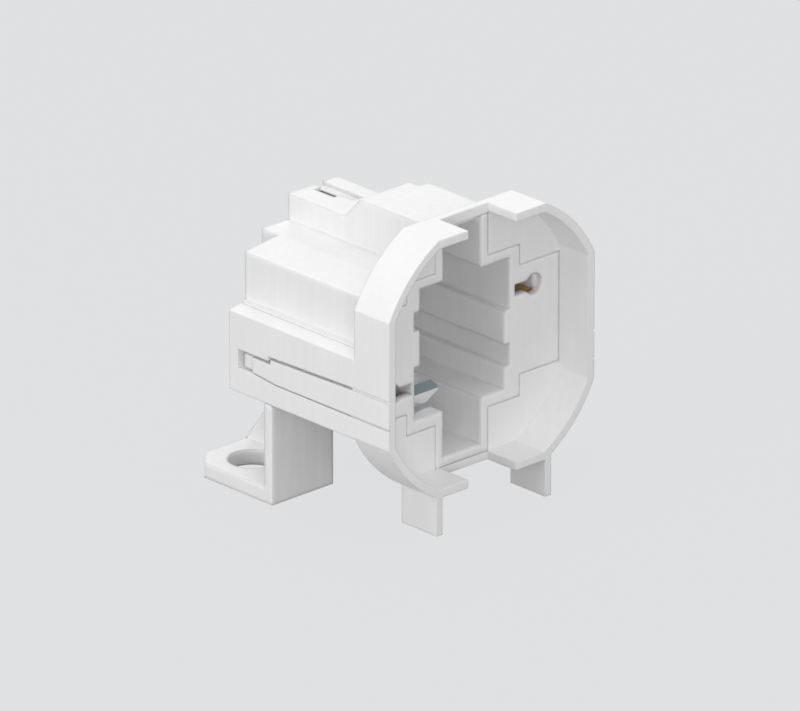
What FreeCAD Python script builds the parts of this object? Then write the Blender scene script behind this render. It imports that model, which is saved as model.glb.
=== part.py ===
import FreeCAD, Part
import math
import os
import Sketcher

# A two-pin compact fluorescent lamp holder, in millimetres.
# X is the width, seen into the mouth. Y runs from the mouth to the rear. Z is up,
# and the legs and feet stand on Z = 0. The origin is in the middle of the plan.

SIZES = {
    # Collar round the mouth
    "corner_cut": 5.084,
    "collar_depth": 6.3,
    "collar_wall": 1.1,
    "web_front": 5.2,
    "notch_half": 4.1,
    "top_lip": 1.35,
    "bottom_lip": 1.04,
    # Legs below the collar
    "leg_thickness": 1.0,
    "leg_left": -9.5,
    "leg_right": 9.2,
    "leg_root": 0.25,
    # Keyed recess for the lamp cap
    "slot_left": -3.55,
    "slot_right": 3.0,
    "slot_top": 37.2,
    "slot_floor": 7.3,
    "slot_depth": 17.2,
    "key_left": -7.5,
    "key_right": 8.0,
    "key_top": 31.15,
    "key_floor": 13.6,
    "key_depth": 25.0,
    "rib_reach": 0.95,
    "left_groove_high": 20.9,
    "left_notch_low": 25.6,
    "left_notch_high": 28.2,
    "right_rib_high": 16.55,
    "right_rail_low": 19.6,
    "right_rail_high": 24.1,
    # Face of the rear housing inside the collar
    "tube_wall": 1.2,
    "cross_half": 9.65,
    "cross_floor": 12.0,
    "cross_top": 32.4,
    "slot_ceiling": 0.95,
    "plate_margin": 1.0,
    "plate_thickness": 1.2,
    "seam_gap": 0.06,
    # Side shells of the front housing
    "shell_rear": 29.1,
    "shell_floor": 13.5,
    "shell_top": 24.1,
    "shell_wall": 1.2,
    "shell_depth": 2.04,
    "shell_rise": 0.4,
    "shell_gap": 0.1,
    # Main block of the rear housing
    "side_box_rear": 27.8,
    "shoulder_wall": 1.8,
    "shoulder_top": 31.2,
    "shoulder_rear": 29.1,
    "deck_half": 9.2,
    "deck_top": 31.85,
    "strip_width": 0.6,
    "strip_rise": 0.35,
    "tail_rear": 32.15,
    # Tower over the slot and terminal block behind it
    "tower_left": -4.7,
    "tower_right": 5.45,
    "tower_top": 38.3,
    "tower_rear": 18.95,
    "tower_step": 17.25,
    "terminal_right": 3.85,
    "terminal_top": 35.3,
    "terminal_front": 21.75,
    "test_slot_left": -1.37,
    "test_slot_right": -0.1,
    "test_slot_front": 27.25,
    "test_slot_rear": 30.9,
    "relief_left": -0.25,
    "relief_width": 0.6,
    "relief_front": 24.75,
    "relief_depth": 1.5,
    "groove_width": 1.5,
    "groove_sink": 0.45,
    # Snap arms in the side shells
    "arm_low": 16.5,
    "arm_high": 19.9,
    "arm_taper": 0.4,
    "arm_step": 21.6,
    "arm_step_drop": 0.6,
    "arm_tip_rise": 0.45,
    "arm_bend": 20.6,
    "arm_end": 24.9,
    "arm_root": 7.0,
    "arm_slit": 0.4,
    "arm_line": 0.2,
    "window_rear": 27.5,
    "groove_depth": 0.3,
    "latch_length": 1.8,
    "latch_reach": 0.9,
    # Screw feet
    "foot_inner": 7.2,
    "foot_front": 21.3,
    "foot_rear": 36.1,
    "foot_wall": 1.45,
    "foot_plate": 2.1,
    "foot_corner": 2.3,
    "foot_rib": 1.2,
    "foot_rib_top": 27.8,
    "screw_bore": 6.2,
    "screw_spacing": 25.0,
    "screw_depth": 30.5,
    # Pin holes and the contact chambers behind them
    "pin_spacing": 24.2,
    "pin_low": 18.1,
    "pin_stagger": 8.3,
    "pin_bore": 2.9,
    "pin_diameter": 2.35,
    "keyway_height": 1.6,
    "chamber_inner": 8.8,
    "chamber_half": 2.2,
    # Brass contacts
    "contact_sheet": 0.5,
    "contact_gap": 0.15,
    "pin_clearance": 0.05,
    "finger_inside": 1.2,
    "finger_outside": 0.85,
    "finger_length": 7.0,
    "contact_width": 2.6,
    "test_tab_sink": 0.4,
    # Wire terminals
    "tunnel_inner": 1.0,
    "tunnel_outer": 7.3,
    "tunnel_rear": 30.95,
    "passage_rear": 28.1,
    "wire_bore": 2.4,
    "wire_offset": 4.6,
    "wire_diameter": 1.3,
    # Steel wire clamps
    "clamp_sheet": 0.3,
    "clamp_width": 3.0,
    "clamp_curl": 0.5,
    "clamp_reach": 2.8,
    "clamp_rise": 1.6,
    # Lamp retention spring
    "spring_sheet": 0.4,
    "spring_left": -8.05,
    "spring_right": -2.5,
    "spring_gap": 0.05,
    "curl_radius": 0.85,
    "curl_depth": 20.0,
    "heel_depth": 11.3,
    "heel_rise": 1.1,
    "crest_depth": 8.5,
    "crest_rise": 3.05,
    "nose_depth": 7.0,
    "nose_rise": 2.45,
    "tail_depth": 8.2,
    "tail_rise": 0.35,
    "tongue_left": -4.4,
    "tongue_right": -3.6,
    "tongue_drop": 0.45,
    "pocket_depth": 0.8,
    "pocket_margin": 0.7,
}


class Size:
    """A length that knows both its value and its formula in the sheet."""

    def __init__(self, value, formula):
        self.value = value
        self.formula = formula

    def joined(self, other, sign, value):
        return Size(value, f"({self.formula} {sign} {as_size(other).formula})")

    def __add__(self, other):
        return self.joined(other, "+", self.value + as_size(other).value)

    def __sub__(self, other):
        return self.joined(other, "-", self.value - as_size(other).value)

    def __mul__(self, factor):
        return self.joined(factor, "*", self.value * as_size(factor).value)

    def __truediv__(self, divisor):
        return self.joined(divisor, "/", self.value / as_size(divisor).value)

    def __neg__(self):
        return Size(-self.value, f"(-{self.formula})")

    def __radd__(self, other):
        return as_size(other) + self

    def __rsub__(self, other):
        return as_size(other) - self

    def __rmul__(self, factor):
        return self * factor


def as_size(number):
    if isinstance(number, Size):
        return number
    return Size(float(number), f"({number})")


def root(size):
    return Size(math.sqrt(size.value), f"sqrt({size.formula})")


def lesser(first, second):
    value = min(first.value, second.value)
    return Size(value, f"min({first.formula}; {second.formula})")


class Sheet:
    """The driving sizes, each reached by its name."""

    def __init__(self, document, sizes):
        self.table = document.addObject("Spreadsheet::Sheet", "Sizes")
        for row, (name, value) in enumerate(sizes.items(), start=1):
            self.table.set(f"A{row}", name)
            self.table.set(f"B{row}", str(value))
            self.table.setAlias(f"B{row}", name)
            setattr(self, name, Size(value, f"Sizes.{name}"))


document = FreeCAD.newDocument("lamp_holder")
size = Sheet(document, SIZES)
document.recompute()


# Sketches and features

def start_body(name):
    """Each piece is drawn from the rim, then placed about the middle of the plan."""
    body = document.addObject("PartDesign::Body", name)
    body.Label = name
    body.setExpression(".Placement.Base.y", (-size.foot_rear / 2).formula)
    return body


def origin_plane(body, role):
    return next(item for item in body.Origin.OriginFeatures if item.Role == role)


def start_sketch(body, name, plane, distance):
    sketch = body.newObject("Sketcher::SketchObject", name)
    sketch.AttachmentSupport = [(origin_plane(body, plane), "")]
    sketch.MapMode = "FlatFace"
    # The normal of the XZ plane points to the front, against the depth.
    offset = -as_size(distance) if plane == "XZ_Plane" else as_size(distance)
    sketch.setExpression(".AttachmentOffset.Base.z", offset.formula)
    return sketch


def place_point(sketch, geometry, end, point):
    for kind, coordinate in zip(("DistanceX", "DistanceY"), point):
        coordinate = as_size(coordinate)
        index = sketch.addConstraint(
            Sketcher.Constraint(kind, -1, 1, geometry, end, coordinate.value))
        sketch.setExpression(f"Constraints[{index}]", coordinate.formula)


def draw_outline(sketch, points):
    corners = [FreeCAD.Vector(as_size(a).value, as_size(b).value, 0) for a, b in points]
    first = sketch.GeometryCount
    count = len(points)
    for index in range(count):
        line = Part.LineSegment(corners[index], corners[(index + 1) % count])
        sketch.addGeometry(line)
    for index in range(count):
        following = first + (index + 1) % count
        sketch.addConstraint(Sketcher.Constraint("Coincident", first + index, 2, following, 1))
    for index, point in enumerate(points):
        place_point(sketch, first + index, 1, point)


def draw_circle(sketch, centre, diameter):
    middle = FreeCAD.Vector(as_size(centre[0]).value, as_size(centre[1]).value, 0)
    normal = FreeCAD.Vector(0, 0, 1)
    circle = sketch.addGeometry(Part.Circle(middle, normal, as_size(diameter).value / 2))
    place_point(sketch, circle, 3, centre)
    index = sketch.addConstraint(
        Sketcher.Constraint("Diameter", circle, as_size(diameter).value))
    sketch.setExpression(f"Constraints[{index}]", as_size(diameter).formula)


def draw_flatted_circle(sketch, centre_height, radius, half_width, half_height):
    """A circle cut by four flats: four lines joined by four arcs."""
    across = math.sqrt(radius.value ** 2 - half_width.value ** 2)
    along = math.sqrt(radius.value ** 2 - half_height.value ** 2)
    wide, high = half_width.value, half_height.value
    level = centre_height.value
    corners = [
        ((wide, -across), (wide, across)),
        ((along, high), (-along, high)),
        ((-wide, across), (-wide, -across)),
        ((-along, -high), (along, -high)),
    ]
    centre = FreeCAD.Vector(0, level, 0)
    normal = FreeCAD.Vector(0, 0, 1)
    circle = Part.Circle(centre, normal, radius.value)
    for start, end in corners:
        sketch.addGeometry(Part.LineSegment(
            FreeCAD.Vector(start[0], level + start[1], 0),
            FreeCAD.Vector(end[0], level + end[1], 0)))
    for index in range(4):
        start = corners[index][1]
        end = corners[(index + 1) % 4][0]
        first = math.atan2(start[1], start[0])
        last = math.atan2(end[1], end[0])
        if last < first:
            last += 2 * math.pi
        sketch.addGeometry(Part.ArcOfCircle(circle, first, last))
    for index in range(4):
        arc = 4 + index
        following = (index + 1) % 4
        sketch.addConstraint(Sketcher.Constraint("Coincident", index, 2, arc, 1))
        sketch.addConstraint(Sketcher.Constraint("Coincident", arc, 2, following, 1))
        kind = "Vertical" if index % 2 == 0 else "Horizontal"
        sketch.addConstraint(Sketcher.Constraint(kind, index))
        if index:
            sketch.addConstraint(Sketcher.Constraint("Coincident", 4, 3, arc, 3))
            sketch.addConstraint(Sketcher.Constraint("Equal", 4, arc))
    place_point(sketch, 4, 3, (0, centre_height))
    flats = [
        ("DistanceX", 0, half_width),
        ("DistanceY", 1, centre_height + half_height),
        ("DistanceX", 2, -half_width),
        ("DistanceY", 3, centre_height - half_height),
    ]
    for kind, line, place in flats:
        index = sketch.addConstraint(Sketcher.Constraint(kind, -1, 1, line, 1, place.value))
        sketch.setExpression(f"Constraints[{index}]", place.formula)
    index = sketch.addConstraint(Sketcher.Constraint("Radius", 4, radius.value))
    sketch.setExpression(f"Constraints[{index}]", radius.formula)


def finish_feature(body, kind, name, sketch, plane, length):
    """Pads and pockets alike run from the sketch towards +X, +Y or +Z."""
    feature = body.newObject(f"PartDesign::{kind}", name)
    feature.Profile = sketch
    feature.setExpression("Length", as_size(length).formula)
    against_normal = plane == "XZ_Plane"
    feature.Reversed = against_normal if kind == "Pad" else not against_normal
    sketch.Visibility = False
    return feature


def outline_feature(body, kind, name, plane, start, end, points):
    sketch = start_sketch(body, f"{name}_sketch", plane, start)
    draw_outline(sketch, points)
    return finish_feature(body, kind, name, sketch, plane, as_size(end) - start)


def add(body, name, plane, start, end, points):
    return outline_feature(body, "Pad", name, plane, start, end, points)


def cut(body, name, plane, start, end, points):
    return outline_feature(body, "Pocket", name, plane, start, end, points)


def drill(body, name, plane, start, end, centre, diameter):
    sketch = start_sketch(body, f"{name}_sketch", plane, start)
    draw_circle(sketch, centre, diameter)
    return finish_feature(body, "Pocket", name, sketch, plane, as_size(end) - start)


def rectangle(low_a, low_b, high_a, high_b):
    return [(low_a, low_b), (high_a, low_b), (high_a, high_b), (low_a, high_b)]


# Places that several pieces share, from the pin holes and the recess outwards

pin_offset = size.pin_spacing / 2
finger_tip = pin_offset + size.finger_outside
chamber_outer = finger_tip + size.contact_gap
shoulder_half = chamber_outer + size.shoulder_wall
shell_inner = shoulder_half + size.strip_width + size.seam_gap
collar_half = shell_inner + size.shell_depth
mouth_half = collar_half - size.collar_wall
shell_lining = collar_half - size.shell_wall
side_box_reach = shell_lining - size.shell_gap
side_box_top = size.shell_top - size.shell_wall - size.shell_gap

tube_left = size.slot_left - size.tube_wall
tube_right = size.slot_right + size.tube_wall
tube_bottom = size.slot_floor - size.tube_wall
lip_bottom = size.slot_top + size.slot_ceiling
collar_top = lip_bottom + size.top_lip
collar_bottom = tube_bottom - size.seam_gap - size.bottom_lip
centre_height = (collar_top + collar_bottom) / 2
collar_half_height = (collar_top - collar_bottom) / 2
collar_radius = root(collar_half * collar_half + collar_half_height * collar_half_height) - size.corner_cut

body_front = size.collar_depth + size.seam_gap
chamber_front = size.web_front + size.plate_thickness
tunnel_front = size.key_depth + size.tube_wall


def pin_level(side):
    """The left pin hole is the lower one, the right pin hole the higher one."""
    return size.pin_low + size.pin_stagger if side > 0 else size.pin_low


def side_box(side, near, low, far, high):
    """A rectangle seen from the front, its widths counted outwards from the middle."""
    return rectangle(side * near, low, side * far, high)


def side_span(side, near, far):
    """Start and end along X of something between two widths on one side."""
    return (as_size(near), as_size(far)) if side > 0 else (-as_size(far), -as_size(near))


def face_outline(gap, floor, ceiling, reach):
    """The cross of the recess with a plate on each side for the pin holes."""
    left, right = tube_left - gap, tube_right + gap
    half = size.cross_half + gap
    cross_low, cross_high = size.cross_floor - gap, size.cross_top + gap
    reach_up = size.chamber_half + size.plate_margin + gap
    plate_low, plate_high = pin_level(-1) - reach_up, pin_level(1) + reach_up
    return [
        (left, floor), (right, floor),
        (right, cross_low), (half, cross_low), (half, plate_low), (reach, plate_low),
        (reach, plate_high), (half, plate_high), (half, cross_high), (right, cross_high),
        (right, ceiling), (left, ceiling),
        (left, cross_high), (-half, cross_high), (-half, plate_high), (-reach, plate_high),
        (-reach, plate_low), (-half, plate_low), (-half, cross_low), (left, cross_low),
    ]


# Front housing: collar, corner webs, side shells, snap arms and legs

def build_front_housing():
    body = start_body("front_housing")
    for name, kind, inset, depth in (("collar", "Pad", as_size(0), size.collar_depth),
                                     ("mouth", "Pocket", size.collar_wall, size.web_front)):
        sketch = start_sketch(body, f"{name}_sketch", "XZ_Plane", 0)
        draw_flatted_circle(sketch, centre_height, collar_radius - inset,
                            collar_half - inset, collar_half_height - inset)
        finish_feature(body, kind, name, sketch, "XZ_Plane", depth)

    cut(body, "notches", "XZ_Plane", 0, size.web_front,
        rectangle(-size.notch_half, collar_bottom, size.notch_half, collar_top))

    for name, side, near in (("left", -1, -size.leg_left - size.leg_thickness),
                             ("right", 1, size.leg_right)):
        far = near + size.leg_thickness
        drop = root(collar_radius * collar_radius - far * far)
        top = centre_height - lesser(drop, collar_half_height) + size.leg_root
        add(body, f"leg_{name}", "XZ_Plane", 0, size.collar_depth,
            side_box(side, near, 0, far, top))

    for name, side in (("left", -1), ("right", 1)):
        add_side_shell(body, name, side)
        cut_snap_arm(body, name, side)
    cut(body, "face_opening", "XZ_Plane", size.web_front, body_front + size.seam_gap,
        face_outline(size.seam_gap, tube_bottom - size.seam_gap, lip_bottom, mouth_half))
    return body


def add_side_shell(body, name, side):
    """The top of the shell rises a little towards the shoulder."""
    wall, inner = size.shell_wall, shell_inner
    floor, top = size.shell_floor, size.shell_top
    rim = [(inner, top + size.shell_rise), (collar_half, top)]
    channel = [
        (collar_half, floor), (inner, floor), (inner, floor + wall), (shell_lining, floor + wall),
        (shell_lining, top - wall), (inner, top - wall),
    ]
    end_wall = size.shell_rear - wall
    for label, start, end, section in (
            ("shell", size.collar_depth, end_wall, channel + rim),
            ("shell_end", end_wall, size.shell_rear, channel[:2] + rim)):
        add(body, f"{label}_{name}", "XZ_Plane", start, end, [(side * x, z) for x, z in section])


def cut_snap_arm(body, name, side):
    """The arm tapers to its tip, between a slit above it and a thin line below it."""
    low, high = size.arm_low, size.arm_high
    step_high = high - size.arm_taper
    narrow = step_high - size.arm_step_drop
    tip_low = low + size.arm_tip_rise
    slit, line = size.arm_slit, size.arm_line
    step_rear = size.arm_step + slit
    openings = [
        ("arm_slit", size.shell_wall, [
            (size.arm_root, high), (size.arm_step, step_high), (size.arm_step, narrow),
            (size.window_rear, narrow), (size.window_rear, narrow + slit),
            (step_rear, narrow + slit), (step_rear, step_high + slit),
            (size.arm_root, high + slit)]),
        ("arm_line", size.shell_wall, [
            (size.arm_root, low - line), (size.arm_bend, low - line), (size.arm_end, tip_low - line),
            (size.arm_end, tip_low), (size.arm_bend, low), (size.arm_root, low)]),
        ("arm_window", size.shell_wall,
         rectangle(size.arm_end, tip_low - line, size.window_rear, narrow)),
        ("upper_groove", size.groove_depth, rectangle(0, high, size.arm_root, high + slit)),
        ("lower_groove", size.groove_depth, rectangle(0, low - line, size.arm_root, low)),
    ]
    for label, depth, points in openings:
        start, end = side_span(side, collar_half - depth, collar_half)
        cut(body, f"{label}_{name}", "YZ_Plane", start, end, points)


# Rear housing: face, recess, chambers, shoulders, tower, terminal block and feet

def build_rear_housing():
    body = start_body("rear_housing")
    add(body, "face", "XZ_Plane", size.web_front, body_front,
        face_outline(as_size(0), tube_bottom, lip_bottom - size.seam_gap,
                     mouth_half - size.seam_gap))
    add_blocks(body)
    add_tower(body)
    cut_recess(body)
    for name, side in (("left", -1), ("right", 1)):
        cut_chamber(body, name, side)
        add_latch(body, name, side)
        add_foot(body, name, side)
    cut_test_slot(body)
    return body


def add_blocks(body):
    half, shoulder, deck = size.cross_half, shoulder_half, size.deck_half
    floor, top = size.shell_floor, size.shoulder_top
    add(body, "shoulders", "XZ_Plane", body_front, size.shoulder_rear, [
        (-shoulder, floor), (shoulder, floor), (shoulder, top),
        (deck, size.deck_top), (-deck, size.deck_top), (-shoulder, top),
    ])
    add(body, "key_block", "XZ_Plane", body_front, tunnel_front,
        rectangle(-half, size.cross_floor, half, floor))
    add(body, "slot_trough", "XZ_Plane", body_front, size.slot_depth + size.tube_wall,
        rectangle(tube_left, tube_bottom, tube_right, size.cross_floor))
    add(body, "tail", "XZ_Plane", size.shoulder_rear, size.tail_rear,
        rectangle(-deck, floor, deck, size.deck_top))
    plate_floor = pin_level(-1) - size.chamber_half - size.plate_margin
    strip_top = size.shell_top + size.shell_rise + size.strip_rise
    for name, side in (("left", -1), ("right", 1)):
        add(body, f"side_box_{name}", "XZ_Plane", body_front, size.side_box_rear,
            side_box(side, shoulder, plate_floor, side_box_reach, side_box_top))
        add(body, f"strip_{name}", "XZ_Plane", body_front, size.shell_rear,
            side_box(side, shoulder, side_box_top, shoulder + size.strip_width, strip_top))


def add_tower(body):
    """The tower over the slot falls away to the terminal block at the rear."""
    add(body, "tower", "YZ_Plane", size.tower_left, size.terminal_right, [
        (body_front, size.shoulder_top), (body_front, size.tower_top),
        (size.tower_rear, size.tower_top), (size.terminal_front, size.terminal_top),
        (size.tail_rear, size.terminal_top), (size.tail_rear, size.shoulder_top),
    ])
    add(body, "tower_side", "YZ_Plane", size.terminal_right, size.tower_right,
        rectangle(body_front, size.shoulder_top, size.tower_step, size.tower_top))


def cut_recess(body):
    left, right = size.key_left, size.key_right
    deep_left = left - size.rib_reach
    rib_right = right - size.rib_reach
    cut(body, "recess", "XZ_Plane", size.web_front, size.key_depth, [
        (deep_left, size.key_floor), (rib_right, size.key_floor),
        (rib_right, size.right_rib_high), (right, size.right_rib_high),
        (right, size.right_rail_low), (rib_right, size.right_rail_low),
        (rib_right, size.right_rail_high), (right, size.right_rail_high),
        (right, size.key_top), (left, size.key_top),
        (left, size.left_notch_high), (deep_left, size.left_notch_high),
        (deep_left, size.left_notch_low), (left, size.left_notch_low),
        (left, size.left_groove_high), (deep_left, size.left_groove_high),
    ])
    cut(body, "slot_recess", "XZ_Plane", size.web_front, size.slot_depth,
        rectangle(size.slot_left, size.slot_floor, size.slot_right, size.slot_top))
    cut(body, "slot_lead", "XZ_Plane", size.web_front, body_front,
        rectangle(size.slot_left, size.slot_top, size.slot_right, lip_bottom))
    cut(body, "spring_pocket", "XZ_Plane", size.tail_depth - size.pocket_margin,
        size.heel_depth + size.pocket_margin,
        rectangle(deep_left, size.key_floor - size.pocket_depth, size.slot_left, size.key_floor))


def cut_chamber(body, name, side):
    """A contact goes in from behind, and its wire plate sits in the tunnel."""
    level = pin_level(side)
    low, high = level - size.chamber_half, level + size.chamber_half
    cut(body, f"chamber_{name}", "XZ_Plane", chamber_front, size.shoulder_rear,
        side_box(side, size.chamber_inner, low, chamber_outer, high))
    inner_end = size.tunnel_inner if side < 0 else size.test_slot_left
    spans = [
        ("tunnel", inner_end, size.tunnel_outer, size.tunnel_rear),
        ("passage", size.tunnel_outer, size.chamber_inner, size.passage_rear),
    ]
    for label, near, far, rear in spans:
        start, end = side_span(side, near, far)
        cut(body, f"{label}_{name}", "YZ_Plane", start, end,
            rectangle(tunnel_front, low, rear, high))

    half_key = size.keyway_height / 2
    drill(body, f"pin_hole_{name}", "XZ_Plane", size.web_front, chamber_front,
          (side * pin_offset, level), size.pin_bore)
    cut(body, f"keyway_{name}", "XZ_Plane", size.web_front, chamber_front,
        side_box(side, size.chamber_inner, level - half_key, pin_offset, level + half_key))
    drill(body, f"wire_hole_{name}", "XZ_Plane", size.tunnel_rear, size.tail_rear,
          (side * size.wire_offset, level), size.wire_bore)


def cut_test_slot(body):
    """A sunk groove along the terminal block, with the test slot beside it."""
    top, rear = size.terminal_top, size.tail_rear
    left, front = size.relief_left, size.relief_front
    cut(body, "test_groove", "XY_Plane", top - size.groove_sink, top,
        rectangle(left, front, left + size.groove_width, rear))
    cut(body, "test_relief", "XY_Plane", top - size.relief_depth, top,
        rectangle(left, front, left + size.relief_width, size.test_slot_front))
    cut(body, "test_slot", "XY_Plane", pin_level(1), top,
        rectangle(size.test_slot_left, size.test_slot_front,
                  size.test_slot_right, size.test_slot_rear))


def add_latch(body, name, side):
    """The nose that holds the rear housing stands in the window of the snap arm."""
    start = size.arm_end + size.seam_gap
    low = size.arm_low + size.arm_tip_rise + size.seam_gap
    high = size.arm_high - size.arm_taper - size.arm_step_drop - size.seam_gap
    add(body, f"latch_{name}", "XZ_Plane", start, start + size.latch_length,
        side_box(side, side_box_reach, low, side_box_reach + size.latch_reach, high))


def add_foot(body, name, side):
    floor = size.shell_floor
    outer = side * collar_half
    inner = side * size.foot_inner
    top = floor - size.shell_gap
    shoulder = side * shoulder_half
    add(body, f"foot_wall_{name}", "XZ_Plane", size.foot_front, size.foot_front + size.foot_wall, [
        (inner, 0), (outer, 0), (outer, top), (shoulder, top), (shoulder, floor), (inner, floor),
    ])
    corner = size.foot_corner
    add(body, f"foot_plate_{name}", "XY_Plane", 0, size.foot_plate, [
        (inner, size.foot_front), (outer, size.foot_front),
        (outer, size.foot_rear - corner), (outer - side * corner, size.foot_rear),
        (inner, size.foot_rear),
    ])
    start, end = side_span(side, size.foot_inner, size.foot_inner + size.foot_rib)
    add(body, f"foot_rib_{name}", "YZ_Plane", start, end, [
        (size.foot_front, 0), (size.foot_rear, 0), (size.foot_rear, size.foot_plate),
        (size.foot_rib_top, floor), (size.foot_front, floor),
    ])
    drill(body, f"screw_hole_{name}", "XY_Plane", 0, size.foot_plate,
          (side * size.screw_spacing / 2, size.screw_depth), size.screw_bore)


# Brass contacts: a pin grip, a strip beside the recess and a wire plate

def build_contact(name, side):
    """Two fingers take the pin, and the strip runs back to the wire plate."""
    body = start_body(f"contact_{name}")
    sheet, gap, level = size.contact_sheet, size.contact_gap, pin_level(side)
    near = size.chamber_inner + gap
    far = near + sheet
    inside = pin_offset - size.finger_inside
    grip = size.pin_diameter / 2 + size.pin_clearance
    grip_high = grip + sheet
    grip_front = chamber_front + gap
    grip_rear = grip_front + size.finger_length
    strip_rear = size.passage_rear - gap
    plate_front = tunnel_front + gap
    plate_low = level + size.wire_diameter / 2
    plate_high = plate_low + sheet
    plate_far = size.tunnel_outer - gap
    plate_near = (size.tunnel_inner if side < 0 else size.test_slot_left) + gap
    plate_rear = size.tunnel_rear - gap
    half = size.contact_width / 2
    boxes = [
        ("grip_back", grip_rear, grip_rear + sheet, near, level - grip_high,
         finger_tip, level + grip_high),
        ("finger_low", grip_front, grip_rear, inside, level - grip_high,
         finger_tip, level - grip),
        ("finger_high", grip_front, grip_rear, inside, level + grip,
         finger_tip, level + grip_high),
        ("strip", grip_rear, strip_rear, near, level - half, far, level + half),
        ("bridge", plate_front, strip_rear, plate_far, plate_low, near, plate_high),
        ("wire_plate", plate_front, plate_rear, plate_near, plate_low, plate_far, plate_high),
    ]
    if side > 0:
        tab_far = size.test_slot_right - gap
        boxes.append(("test_tab", size.test_slot_front + gap, size.test_slot_rear - gap,
                      tab_far - sheet, plate_low, tab_far, size.terminal_top - size.test_tab_sink))
    for label, start, end, inner, low, outer, high in boxes:
        add(body, label, "XZ_Plane", start, end, side_box(side, inner, low, outer, high))
    return body


# Leaf springs: a curled root with a bent leaf, drawn from the side

def build_spring(name, start, end, curl_centre, curl_radius, leaf):
    body = start_body(name)
    sketch = start_sketch(body, "curl_sketch", "YZ_Plane", start)
    draw_circle(sketch, curl_centre, 2 * curl_radius)
    finish_feature(body, "Pad", "curl", sketch, "YZ_Plane", end - start)
    add(body, "leaf", "YZ_Plane", start, end, leaf)
    return body


def build_wire_clamp(name, side):
    """The leaf presses a wire from the rear up against the wire plate."""
    sheet, radius = size.clamp_sheet, size.clamp_curl
    depth = size.tunnel_rear - size.contact_gap - radius
    height = pin_level(side) - size.chamber_half + size.contact_gap + radius
    tip_depth = depth - size.clamp_reach
    tip_height = height + size.clamp_rise
    half = size.clamp_width / 2
    start, end = side_span(side, size.wire_offset - half, size.wire_offset + half)
    return build_spring(f"wire_clamp_{name}", start, end, (depth, height), radius, [
        (depth, height + radius), (tip_depth, tip_height), (tip_depth, tip_height - sheet),
        (depth, height + radius - sheet),
    ])


def build_retention_spring():
    """The leaf lies low behind its crest, and the nose turns down to a narrow tongue."""
    radius, sheet, floor = size.curl_radius, size.spring_sheet, size.key_floor
    curl = (size.curl_depth, floor + radius + size.spring_gap)
    heel = (size.heel_depth, floor + size.heel_rise)
    crest = (size.crest_depth, floor + size.crest_rise)
    nose = (size.nose_depth, floor + size.nose_rise)
    tail = (size.tail_depth, floor + size.tail_rise)
    left, right = size.spring_left, size.spring_right
    body = build_spring("retention_spring", left, right, curl, radius, [
        (curl[0], curl[1] + radius), heel, crest, nose, tail, (tail[0] + sheet, tail[1]),
        (nose[0] + 1.5 * sheet, nose[1] - sheet / 2), (crest[0], crest[1] - sheet),
        (heel[0], heel[1] - sheet), (curl[0], curl[1] + radius - sheet),
    ])
    for name, edge, tongue in (("left", left, size.tongue_left),
                               ("right", right, size.tongue_right)):
        cut(body, f"tongue_{name}", "XZ_Plane", nose[0], tail[0] + sheet, [
            (edge, tail[1]), (tongue, tail[1]), (edge, nose[1] - size.tongue_drop),
        ])
    return body


bodies = [build_front_housing(), build_rear_housing()]
for name, side in (("left", -1), ("right", 1)):
    bodies.append(build_contact(name, side))
    bodies.append(build_wire_clamp(name, side))
bodies.append(build_retention_spring())

document.recompute()
for item in document.Objects:
    if "Invalid" in item.State or "Error" in item.State:
        raise RuntimeError(f"{item.Name} failed: {item.State}")
for body in bodies:
    if body.Shape.isNull() or not body.Shape.isValid():
        raise RuntimeError(f"{body.Label} has no valid shape")
    if len(body.Shape.Solids) != 1:
        raise RuntimeError(f"{body.Label} is {len(body.Shape.Solids)} solids, not one")

os.makedirs("parts", exist_ok=True)
for body in bodies:
    body.Shape.exportStep(os.path.join("parts", f"{body.Label}.step"))
    box = body.Shape.BoundBox
    print(body.Label, round(body.Shape.Volume, 2), "mm3, from",
          [round(v, 2) for v in (box.XMin, box.YMin, box.ZMin)], "to",
          [round(v, 2) for v in (box.XMax, box.YMax, box.ZMax)])
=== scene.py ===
import math
import bpy
from mathutils import Matrix, Vector

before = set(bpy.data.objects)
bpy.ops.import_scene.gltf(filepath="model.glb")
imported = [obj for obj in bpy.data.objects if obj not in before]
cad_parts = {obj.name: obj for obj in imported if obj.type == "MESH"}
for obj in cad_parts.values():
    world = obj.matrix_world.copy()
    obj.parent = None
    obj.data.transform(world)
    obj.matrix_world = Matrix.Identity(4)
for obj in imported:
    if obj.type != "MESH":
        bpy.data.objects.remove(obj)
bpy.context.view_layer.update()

# The photograph's view: a long lens from the front left, a little above.
AZIMUTH = math.radians(43.3)
ELEVATION = math.radians(22.3)
CAMERA_DISTANCE = 2.2
PIXELS_PER_METRE = 8000.0
IMAGE_WIDTH = 800.0
SENSOR_WIDTH = 36.0
CLIP_START = 0.05
CLIP_END = 20.0
AIM_RIGHT = 0.00091
AIM_UP = 0.01507
AIM_NEAR = 0.0075

# Pale, slightly cool grey behind and under the object.
BACKGROUND = (0.79, 0.8, 0.815, 1.0)
WORLD_LIGHT = 0.63
WHITE = (1.0, 1.0, 1.0, 1.0)

# The floor lies just under the feet and hides in the background.
FLOOR_HALF = 0.8
FLOOR_DROP = 0.00005
FLOOR_GREY = (0.3, 0.3, 0.3, 1.0)
FLOOR_ROUGHNESS = 0.9
FLOOR_SPECULAR = 0.1
FLOOR_GLOW_SHARE = 0.9

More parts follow.
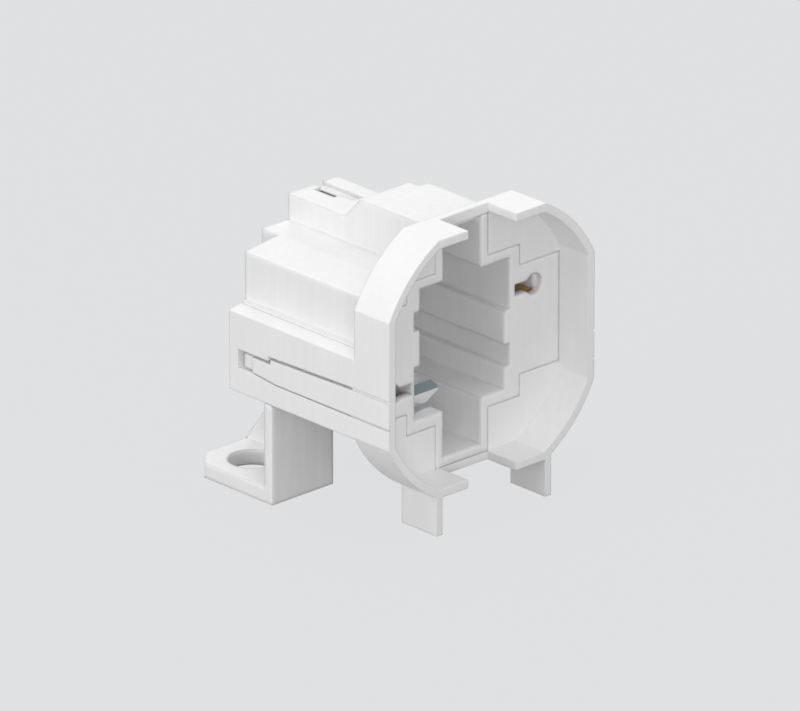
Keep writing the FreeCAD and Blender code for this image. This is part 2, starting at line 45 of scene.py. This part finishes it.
# Moulded plastic: noise scales per metre, bump depth in metres.
CLOUD_SCALE = 90.0
CLOUD_DETAIL = 4.0
DRAW_STRETCH = (1300.0, 1300.0, 70.0)
DRAW_DETAIL = 3.0
GRAIN_SCALE = 2600.0
GRAIN_DETAIL = 2.0
PEEL_DEPTH = 0.00002
CLOUD_ROUGHNESS = 0.25
# Gain of the mask for the painted edge highlight.
PAINTED_EDGE_HIGHLIGHT_GAIN = 12.0
SKIN_EDGE_SAMPLES = 6

# Rolled strip: noise scales per metre, bump depth in metres.
LINE_STRETCH = (9000.0, 300.0, 9000.0)
LINE_DETAIL = 2.0
LINE_DEPTH = 0.00001
STAIN_SCALE = 400.0
STAIN_DETAIL = 5.0
STAIN_START = 0.42
STAIN_FULL = 0.72
STAIN_ROUGHNESS = 0.2
STRIP_EDGE_SAMPLES = 4

# Noise lies round this middle, and a stretched one needs no scale of its own.
NOISE_MIDDLE = 0.5
STRETCHED_SCALE = 1.0

# Places of the colour sockets on a mix node.
MIX_SHARE = 0
MIX_FIRST = 6
MIX_SECOND = 7
MIX_RESULT = 2


# Node helpers

def new_group(name, inputs, outputs):
    """An empty shader group with its sockets, each given as a kind, a name and a default."""
    group = bpy.data.node_groups.new(name, "ShaderNodeTree")
    for kind, label, default in inputs:
        socket = group.interface.new_socket(label, in_out="INPUT", socket_type=kind)
        socket.default_value = default
    for kind, label in outputs:
        group.interface.new_socket(label, in_out="OUTPUT", socket_type=kind)
    return group, group.nodes.new("NodeGroupInput"), group.nodes.new("NodeGroupOutput")


def add_node(tree, kind, **settings):
    """A new node with its settings."""
    node = tree.nodes.new(kind)
    for name, value in settings.items():
        setattr(node, name, value)
    return node


def feed(tree, socket, value):
    """Link a socket to another node's output, or give it a plain value."""
    if isinstance(value, bpy.types.NodeSocket):
        tree.links.new(value, socket)
    else:
        socket.default_value = value


def math_node(tree, operation, first, second, clamp=False):
    node = add_node(tree, "ShaderNodeMath", operation=operation, use_clamp=clamp)
    feed(tree, node.inputs[0], first)
    feed(tree, node.inputs[1], second)
    return node.outputs[0]


def noise(tree, place, scale, detail):
    node = add_node(tree, "ShaderNodeTexNoise")
    feed(tree, node.inputs["Vector"], place)
    feed(tree, node.inputs["Scale"], scale)
    feed(tree, node.inputs["Detail"], detail)
    return node.outputs["Fac"]


def stretched(tree, place, scale):
    node = add_node(tree, "ShaderNodeMapping")
    feed(tree, node.inputs["Vector"], place)
    feed(tree, node.inputs["Scale"], scale)
    return node.outputs["Vector"]


def mix_colours(tree, share, first, second):
    node = add_node(tree, "ShaderNodeMix", data_type="RGBA")
    feed(tree, node.inputs[MIX_SHARE], share)
    feed(tree, node.inputs[MIX_FIRST], first)
    feed(tree, node.inputs[MIX_SECOND], second)
    return node.outputs[MIX_RESULT]


def soft_normal(tree, radius, samples):
    """The surface's direction, turned over the width of an edge."""
    node = add_node(tree, "ShaderNodeBevel", samples=samples)
    feed(tree, node.inputs["Radius"], radius)
    return node.outputs["Normal"]


def bumped(tree, strength, height, depth, normal):
    node = add_node(tree, "ShaderNodeBump")
    feed(tree, node.inputs["Strength"], strength)
    feed(tree, node.inputs["Height"], height)
    feed(tree, node.inputs["Distance"], depth)
    feed(tree, node.inputs["Normal"], normal)
    return node.outputs["Normal"]


def mix_shaders(tree, share, first, second):
    node = add_node(tree, "ShaderNodeMixShader")
    feed(tree, node.inputs[0], share)
    feed(tree, node.inputs[1], first)
    feed(tree, node.inputs[2], second)
    return node.outputs[0]


# Shared effects

def make_moulded_skin():
    """Satin of a moulded plastic wall: mottling, upright draw marks, fine peel, softened edges and a
    painted highlight along them.
    """
    group, given, result = new_group("moulded skin", [
        ("NodeSocketColor", "Colour", (0.8, 0.8, 0.8, 1.0)),
        ("NodeSocketColor", "Painted Edge Highlight", (0.9, 0.9, 0.9, 1.0)),
        ("NodeSocketFloat", "Roughness", 0.4),
        ("NodeSocketFloat", "Mottle", 0.05),
        ("NodeSocketFloat", "Draw Marks", 0.05),
        ("NodeSocketFloat", "Peel", 0.1),
        ("NodeSocketFloat", "Edge Radius", 0.0002),
    ], [
        ("NodeSocketColor", "Colour"),
        ("NodeSocketFloat", "Roughness"),
        ("NodeSocketVector", "Normal"),
    ])
    place = add_node(group, "ShaderNodeTexCoord").outputs["Object"]
    cloud = noise(group, place, CLOUD_SCALE, CLOUD_DETAIL)
    marks = noise(group, stretched(group, place, DRAW_STRETCH), STRETCHED_SCALE, DRAW_DETAIL)
    grain = noise(group, place, GRAIN_SCALE, GRAIN_DETAIL)

    # Colour: mottling and draw marks shift the shade a little both ways.
    centred = math_node(group, "SUBTRACT", cloud, NOISE_MIDDLE)
    shade = math_node(group, "MULTIPLY", centred, given.outputs["Mottle"])
    drawn = math_node(group, "SUBTRACT", marks, NOISE_MIDDLE)
    streak = math_node(group, "MULTIPLY", drawn, given.outputs["Draw Marks"])
    uneven = math_node(group, "ADD", shade, streak)
    level = math_node(group, "ADD", uneven, 1.0)
    tinted = add_node(group, "ShaderNodeVectorMath", operation="SCALE")
    feed(group, tinted.inputs[0], given.outputs["Colour"])
    feed(group, tinted.inputs["Scale"], level)

    # An edge is where the softened direction leaves the flat one. There the colour is mixed towards a
    # lighter one: a painted highlight on every edge, hollow corners included.
    soft = soft_normal(group, given.outputs["Edge Radius"], SKIN_EDGE_SAMPLES)
    flat = add_node(group, "ShaderNodeNewGeometry").outputs["True Normal"]
    agreement = add_node(group, "ShaderNodeVectorMath", operation="DOT_PRODUCT")
    feed(group, agreement.inputs[0], soft)
    feed(group, agreement.inputs[1], flat)
    turned = math_node(group, "SUBTRACT", 1.0, agreement.outputs["Value"], clamp=True)
    edge = math_node(group, "MULTIPLY", turned, PAINTED_EDGE_HIGHLIGHT_GAIN, clamp=True)
    colour = mix_colours(group, edge, tinted.outputs["Vector"], given.outputs["Painted Edge Highlight"])

    rough_shift = math_node(group, "MULTIPLY", centred, CLOUD_ROUGHNESS)
    roughness = math_node(group, "ADD", given.outputs["Roughness"], rough_shift, clamp=True)
    normal = bumped(group, given.outputs["Peel"], grain, PEEL_DEPTH, soft)

    feed(group, result.inputs["Colour"], colour)
    feed(group, result.inputs["Roughness"], roughness)
    feed(group, result.inputs["Normal"], normal)
    return group


def make_rolled_strip():
    """Rolled metal strip: fine lines along its length, slight tarnish, and a painted shade colour above a
    height.
    """
    group, given, result = new_group("rolled strip", [
        ("NodeSocketColor", "Colour", (0.7, 0.7, 0.7, 1.0)),
        ("NodeSocketColor", "Tarnish", (0.4, 0.4, 0.4, 1.0)),
        ("NodeSocketFloat", "Roughness", 0.3),
        ("NodeSocketFloat", "Line Height", 0.1),
        ("NodeSocketFloat", "Edge Radius", 0.0001),
        ("NodeSocketFloat", "Painted Shade Above", 1.0),
        ("NodeSocketColor", "Painted Shade Colour", (0.1, 0.1, 0.1, 1.0)),
    ], [
        ("NodeSocketColor", "Colour"),
        ("NodeSocketFloat", "Roughness"),
        ("NodeSocketVector", "Normal"),
    ])
    place = add_node(group, "ShaderNodeTexCoord").outputs["Object"]
    lines = noise(group, stretched(group, place, LINE_STRETCH), STRETCHED_SCALE, LINE_DETAIL)
    stain = noise(group, place, STAIN_SCALE, STAIN_DETAIL)
    stained = add_node(group, "ShaderNodeMapRange")
    feed(group, stained.inputs["Value"], stain)
    feed(group, stained.inputs["From Min"], STAIN_START)
    feed(group, stained.inputs["From Max"], STAIN_FULL)
    tarnished = stained.outputs["Result"]

    metal = mix_colours(group, tarnished, given.outputs["Colour"], given.outputs["Tarnish"])
    axes = add_node(group, "ShaderNodeSeparateXYZ")
    feed(group, axes.inputs[0], place)
    # Above the given height the colour is swapped for a painted shade colour.
    painted_shade_share = math_node(group, "GREATER_THAN", axes.outputs["Z"], given.outputs["Painted Shade Above"])
    colour = mix_colours(group, painted_shade_share, metal, given.outputs["Painted Shade Colour"])

    spread = math_node(group, "MULTIPLY", tarnished, STAIN_ROUGHNESS)
    roughness = math_node(group, "ADD", given.outputs["Roughness"], spread, clamp=True)
    soft = soft_normal(group, given.outputs["Edge Radius"], STRIP_EDGE_SAMPLES)
    normal = bumped(group, given.outputs["Line Height"], lines, LINE_DEPTH, soft)

    feed(group, result.inputs["Colour"], colour)
    feed(group, result.inputs["Roughness"], roughness)
    feed(group, result.inputs["Normal"], normal)
    return group


def make_finish(name, group, values, metallic=0.0):
    """A material whose look comes from one shared effect with its own values."""
    material = bpy.data.materials.new(name)
    material.use_nodes = True
    tree = material.node_tree
    shader = tree.nodes["Principled BSDF"]
    shader.inputs["Metallic"].default_value = metallic
    effect = add_node(tree, "ShaderNodeGroup", node_tree=group)
    for label, value in values.items():
        effect.inputs[label].default_value = value
    tree.links.new(effect.outputs["Colour"], shader.inputs["Base Color"])
    tree.links.new(effect.outputs["Roughness"], shader.inputs["Roughness"])
    tree.links.new(effect.outputs["Normal"], shader.inputs["Normal"])
    return material


# Finishes of the pieces

moulded_skin = make_moulded_skin()
rolled_strip = make_rolled_strip()

white_front = make_finish("white plastic of the front housing", moulded_skin, {
    "Colour": (0.86, 0.86, 0.858, 1.0),
    # Edges mixed lighter: a painted highlight.
    "Painted Edge Highlight": (0.93, 0.93, 0.93, 1.0),
    "Roughness": 0.36,
    "Mottle": 0.08,
    "Draw Marks": 0.07,
    "Peel": 0.15,
    "Edge Radius": 0.0003,
})
white_rear = make_finish("white plastic of the rear housing", moulded_skin, {
    "Colour": (0.85, 0.85, 0.856, 1.0),
    # Edges mixed nearly to white: a painted highlight.
    "Painted Edge Highlight": (0.98, 0.98, 0.98, 1.0),
    "Roughness": 0.4,
    "Mottle": 0.1,
    "Draw Marks": 0.1,
    "Peel": 0.18,
    "Edge Radius": 0.0008,
})

# The contact's end in the test slot is painted near black above a height, as painted shade of the deep
# slot.
brass_strip = make_finish("brass strip", rolled_strip, {
    "Colour": (0.83, 0.52, 0.19, 1.0),
    "Tarnish": (0.50, 0.26, 0.07, 1.0),
    "Roughness": 0.26,
    "Line Height": 0.2,
    "Edge Radius": 0.00008,
    "Painted Shade Above": 0.0305,
    "Painted Shade Colour": (0.05, 0.05, 0.055, 1.0),
}, metallic=1.0)
spring_strip = make_finish("spring steel strip", rolled_strip, {
    "Colour": (0.90, 0.92, 0.93, 1.0),
    "Tarnish": (0.74, 0.78, 0.80, 1.0),
    "Roughness": 0.34,
    "Line Height": 0.2,
    "Edge Radius": 0.00008,
}, metallic=1.0)

# The retention spring is painted a darker teal above the fold of its nose as painted shade, and near
# white below the fold as a painted highlight.
spring_strip_with_painted_shade_and_highlight = make_finish("spring steel strip with a blued nose", rolled_strip, {
    # Near white, with less metal shine: a painted highlight on the lower part of the nose.
    "Colour": (0.96, 0.97, 0.97, 1.0),
    "Tarnish": (0.88, 0.90, 0.91, 1.0),
    "Roughness": 0.34,
    "Line Height": 0.2,
    "Edge Radius": 0.00012,
    "Painted Shade Above": 0.01602,
    # Darker teal: painted shade above the fold.
    "Painted Shade Colour": (0.36, 0.46, 0.49, 1.0),
}, metallic=0.55)

finishes = {
    "front_housing": white_front,
    "rear_housing": white_rear,
    "contact_left": brass_strip,
    "contact_right": brass_strip,
    "wire_clamp_left": spring_strip,
    "wire_clamp_right": spring_strip,
    "retention_spring": spring_strip_with_painted_shade_and_highlight,
}
for node_name, finish in finishes.items():
    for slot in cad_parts[node_name].material_slots:
        slot.material = finish


# Floor and background

def camera_ray_share(tree):
    """One for the camera, for mirror-like rays and for glass, and nought for plain light."""
    path = add_node(tree, "ShaderNodeLightPath")
    seen = math_node(tree, "ADD", path.outputs["Is Camera Ray"], path.outputs["Is Glossy Ray"])
    return math_node(tree, "ADD", seen, path.outputs["Is Transmission Ray"], clamp=True)


def make_floor():
    mesh = bpy.data.meshes.new("floor")
    corners = [
        (-FLOOR_HALF, -FLOOR_HALF, 0),
        (FLOOR_HALF, -FLOOR_HALF, 0),
        (FLOOR_HALF, FLOOR_HALF, 0),
        (-FLOOR_HALF, FLOOR_HALF, 0),
    ]
    mesh.from_pydata(corners, [], [(0, 1, 2, 3)])
    floor = bpy.data.objects.new("floor", mesh)
    bpy.context.collection.objects.link(floor)
    material = bpy.data.materials.new("pale floor")
    material.use_nodes = True
    tree = material.node_tree
    shader = tree.nodes["Principled BSDF"]
    shader.inputs["Base Color"].default_value = FLOOR_GREY
    shader.inputs["Roughness"].default_value = FLOOR_ROUGHNESS
    shader.inputs["Specular IOR Level"].default_value = FLOOR_SPECULAR
    glow = add_node(tree, "ShaderNodeEmission")
    glow.inputs["Color"].default_value = BACKGROUND
    share = math_node(tree, "MULTIPLY", camera_ray_share(tree), FLOOR_GLOW_SHARE)
    surface = mix_shaders(tree, share, shader.outputs[0], glow.outputs[0])
    tree.links.new(surface, tree.nodes["Material Output"].inputs["Surface"])
    mesh.materials.append(material)
    floor.location = (0, 0, -FLOOR_DROP)


def set_world():
    world = bpy.data.worlds.new("studio")
    bpy.context.scene.world = world
    world.use_nodes = True
    tree = world.node_tree
    plain = tree.nodes["Background"]
    plain.inputs["Color"].default_value = WHITE
    plain.inputs["Strength"].default_value = WORLD_LIGHT
    seen = add_node(tree, "ShaderNodeBackground")
    seen.inputs["Color"].default_value = BACKGROUND
    seen.inputs["Strength"].default_value = 1.0
    surface = mix_shaders(tree, camera_ray_share(tree), plain.outputs[0], seen.outputs[0])
    tree.links.new(surface, tree.nodes["World Output"].inputs["Surface"])


make_floor()
set_world()


# Lamps

LAMP_AIM = Vector((0, 0, 0.02))


def add_lamp(name, place, size, power):
    """A square soft box aimed at the middle of the object, with its side in metres and power in watts."""
    data = bpy.data.lights.new(name, "AREA")
    data.shape = "SQUARE"
    data.size = size
    data.energy = power
    lamp = bpy.data.objects.new(name, data)
    bpy.context.collection.objects.link(lamp)
    lamp.location = place
    aim = LAMP_AIM - Vector(place)
    lamp.rotation_euler = aim.to_track_quat("-Z", "Y").to_euler()


add_lamp("overhead box", place=(-0.05, 0.0, 0.6), size=0.5, power=1.1)
add_lamp("left box", place=(-0.59, 0.02, 0.12), size=0.4, power=1.15)
add_lamp("front box", place=(-0.36, -0.59, 0.1), size=0.4, power=1.5)
add_lamp("back box", place=(0.5, 0.5, 0.3), size=0.4, power=0.4)


# Camera

def add_camera():
    right = Vector((math.cos(AZIMUTH), -math.sin(AZIMUTH), 0))
    towards = Vector((
        -math.sin(AZIMUTH) * math.cos(ELEVATION),
        -math.cos(AZIMUTH) * math.cos(ELEVATION),
        math.sin(ELEVATION)))
    up = towards.cross(right)
    aim = AIM_RIGHT * right + AIM_UP * up + AIM_NEAR * towards
    data = bpy.data.cameras.new("camera")
    data.sensor_fit = "HORIZONTAL"
    data.sensor_width = SENSOR_WIDTH
    data.lens = PIXELS_PER_METRE * CAMERA_DISTANCE * SENSOR_WIDTH / IMAGE_WIDTH
    data.clip_start = CLIP_START
    data.clip_end = CLIP_END
    camera = bpy.data.objects.new("camera", data)
    bpy.context.collection.objects.link(camera)
    turn = Matrix((right, up, towards)).transposed().to_4x4()
    camera.matrix_world = Matrix.Translation(aim + CAMERA_DISTANCE * towards) @ turn
    bpy.context.scene.camera = camera


add_camera()
bpy.context.scene.view_settings.view_transform = "Standard"
